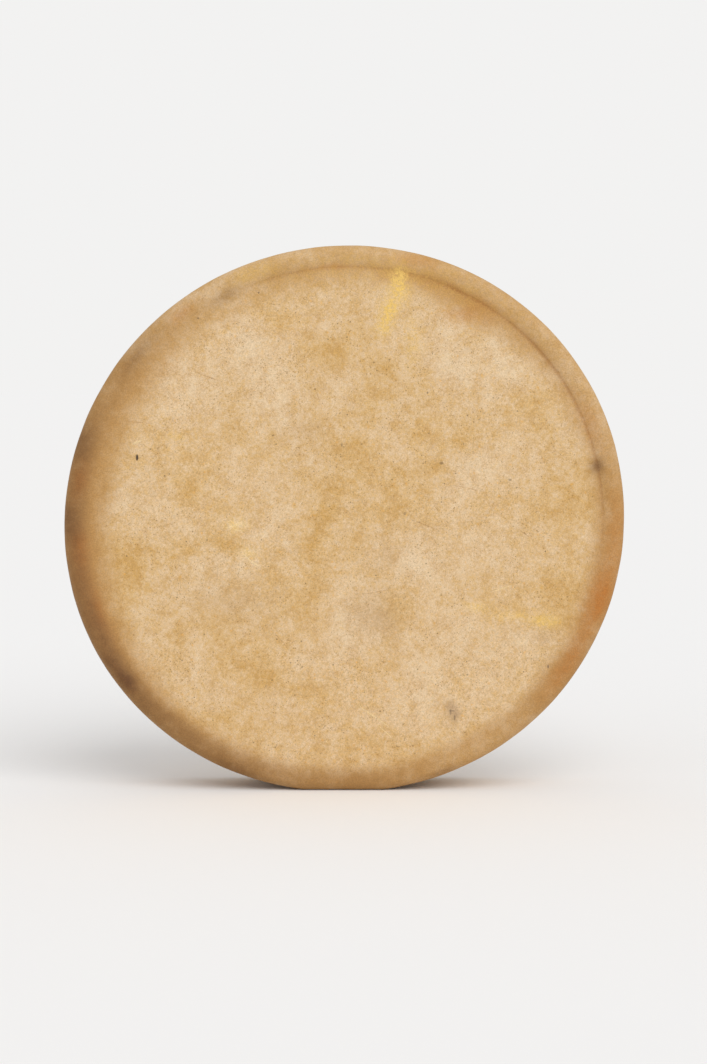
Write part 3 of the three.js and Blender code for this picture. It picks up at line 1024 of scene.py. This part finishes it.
def lace_hide(name):
    """Rawhide strip: amber and a little glassy, darker at its cut edges and where hands reach it."""
    s = Shader(name)
    streak = s.noise(9, 4, 0.6, 0.4)
    fine = s.noise(1.1, 3, 0.6)
    fibres = s.noise(0.8, 3, 0.65, 0.3, s.lengthwise(0.16, s.attribute("side")))
    base = s.ramp(s.plus(s.times(streak, 0.6), s.times(fibres, 0.4)), (0.36, colour(232, 208, 162)),
                  (0.5, colour(214, 180, 126)), (0.64, colour(184, 140, 84)))
    base = s.mix(s.between(fine, 0.5, 0.75, 0, 0.4), base, colour(160, 116, 66))
    held = s.math("MULTIPLY", s.attribute("held"), s.between(streak, 0.25, 0.6, 0.3, 0.75), clamp=True)
    base = s.mix(held, base, colour(142, 98, 54))
    base = s.mix(s.times(s.attribute("edge"), 0.5), base, colour(150, 104, 56))
    height = s.total((fibres, 0.8), (streak, 0.5), (fine, 0.5))
    return s.finish(base, s.between(fine, 0.3, 0.7, 0.36, 0.55), s.bump(height), 0.45)


# ---------------- assembly

def dress(piece, material, slot, *nodes):
    piece.data.materials.append(material)
    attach(piece, "root")
    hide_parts(*nodes)
    return piece


def build_drumhead(hoop):
    points, faces, reaches, inside = drumhead_mesh()
    attributes = skin_marks(points, reaches, inside)
    piece = make_mesh("rawhide_drumhead", points, faces, attributes)
    return dress(piece, rawhide("rawhide_skin"), "rawhide_skin", "drumhead")


def build_hoop():
    piece = make_mesh("bent_hoop", *hoop_mesh())
    material = wood("hoop_wood", colour(200, 158, 106), colour(148, 104, 62))
    return dress(piece, material, "hoop_wood", "hoop")


def build_ring():
    piece = make_mesh("twig_hand_ring", *ring_mesh())
    material = wood("ring_wood", colour(168, 124, 78), colour(98, 66, 38))
    return dress(piece, material, "ring_wood", "hand_ring")


def build_lacing():
    piece = make_mesh("twisted_lacing", *lacing_mesh())
    return dress(piece, lace_hide("rawhide_lace"), "rawhide_lace", "lacing")


def build_floor():
    """A wide plain floor, as light as the surround beyond it."""
    mesh = bpy.data.meshes.new("floor")
    reach = 60
    corners = [(-reach, -reach, 0), (reach, -reach, 0), (reach, reach, 0), (-reach, reach, 0)]
    mesh.from_pydata(corners, [], [(0, 1, 2, 3)])
    mesh.materials.append(Shader("pale_floor").finish((0.9, 0.893, 0.885, 1), 1.0, None, 0.0))
    floor = add_object("floor", mesh)


# How light the surround looks to the camera: as light as the floor, so that no horizon shows.
SURROUND = 0.891


def build_light():
    """An even pale surround and one soft key light from the upper right in front."""
    world = bpy.data.worlds.new("surround")
    bpy.context.scene.world = world
    world.use_nodes = True
    nodes, links = world.node_tree.nodes, world.node_tree.links
    nodes.clear()
    path = nodes.new("ShaderNodeLightPath")
    shown, cast = nodes.new("ShaderNodeBackground"), nodes.new("ShaderNodeBackground")
    shown.inputs["Color"].default_value = (SURROUND, SURROUND * 0.995, SURROUND * 0.987, 1)
    cast.inputs["Color"].default_value = (0.985, 0.99, 1.0, 1)
    cast.inputs["Strength"].default_value = 0.729
    choose = nodes.new("ShaderNodeMixShader")
    output = nodes.new("ShaderNodeOutputWorld")
    links.new(path.outputs["Is Camera Ray"], choose.inputs[0])
    links.new(cast.outputs[0], choose.inputs[1])
    links.new(shown.outputs[0], choose.inputs[2])
    links.new(choose.outputs[0], output.inputs[0])
    key = bpy.data.lights.new("key", "SUN")
    key.energy = 1.2
    key.angle = math.radians(50)
    key.color = (1.0, 0.99, 0.975)
    lamp = add_object("key", key)
    towards_light = Vector((0.5, -1.0, 1.15))
    lamp.rotation_euler = towards_light.to_track_quat("Z", "Y").to_euler()


def build_camera():
    """Square on to the playing face, from a little above the drum's middle."""
    data = bpy.data.cameras.new("camera")
    data.sensor_width = 36
    data.lens = 76.5
    camera = add_object("camera", data)
    camera.location = AXIS + Vector((0, -1.641, 0.098))
    aim = AXIS + Vector((0.0063, -0.023, -0.0076))
    camera.rotation_euler = (aim - camera.location).to_track_quat("-Z", "Y").to_euler()
    bpy.context.scene.camera = camera


build_camera()
build_drumhead(build_hoop())
build_ring()
build_lacing()
build_floor()
build_light()
bpy.context.scene.view_settings.view_transform = "Standard"
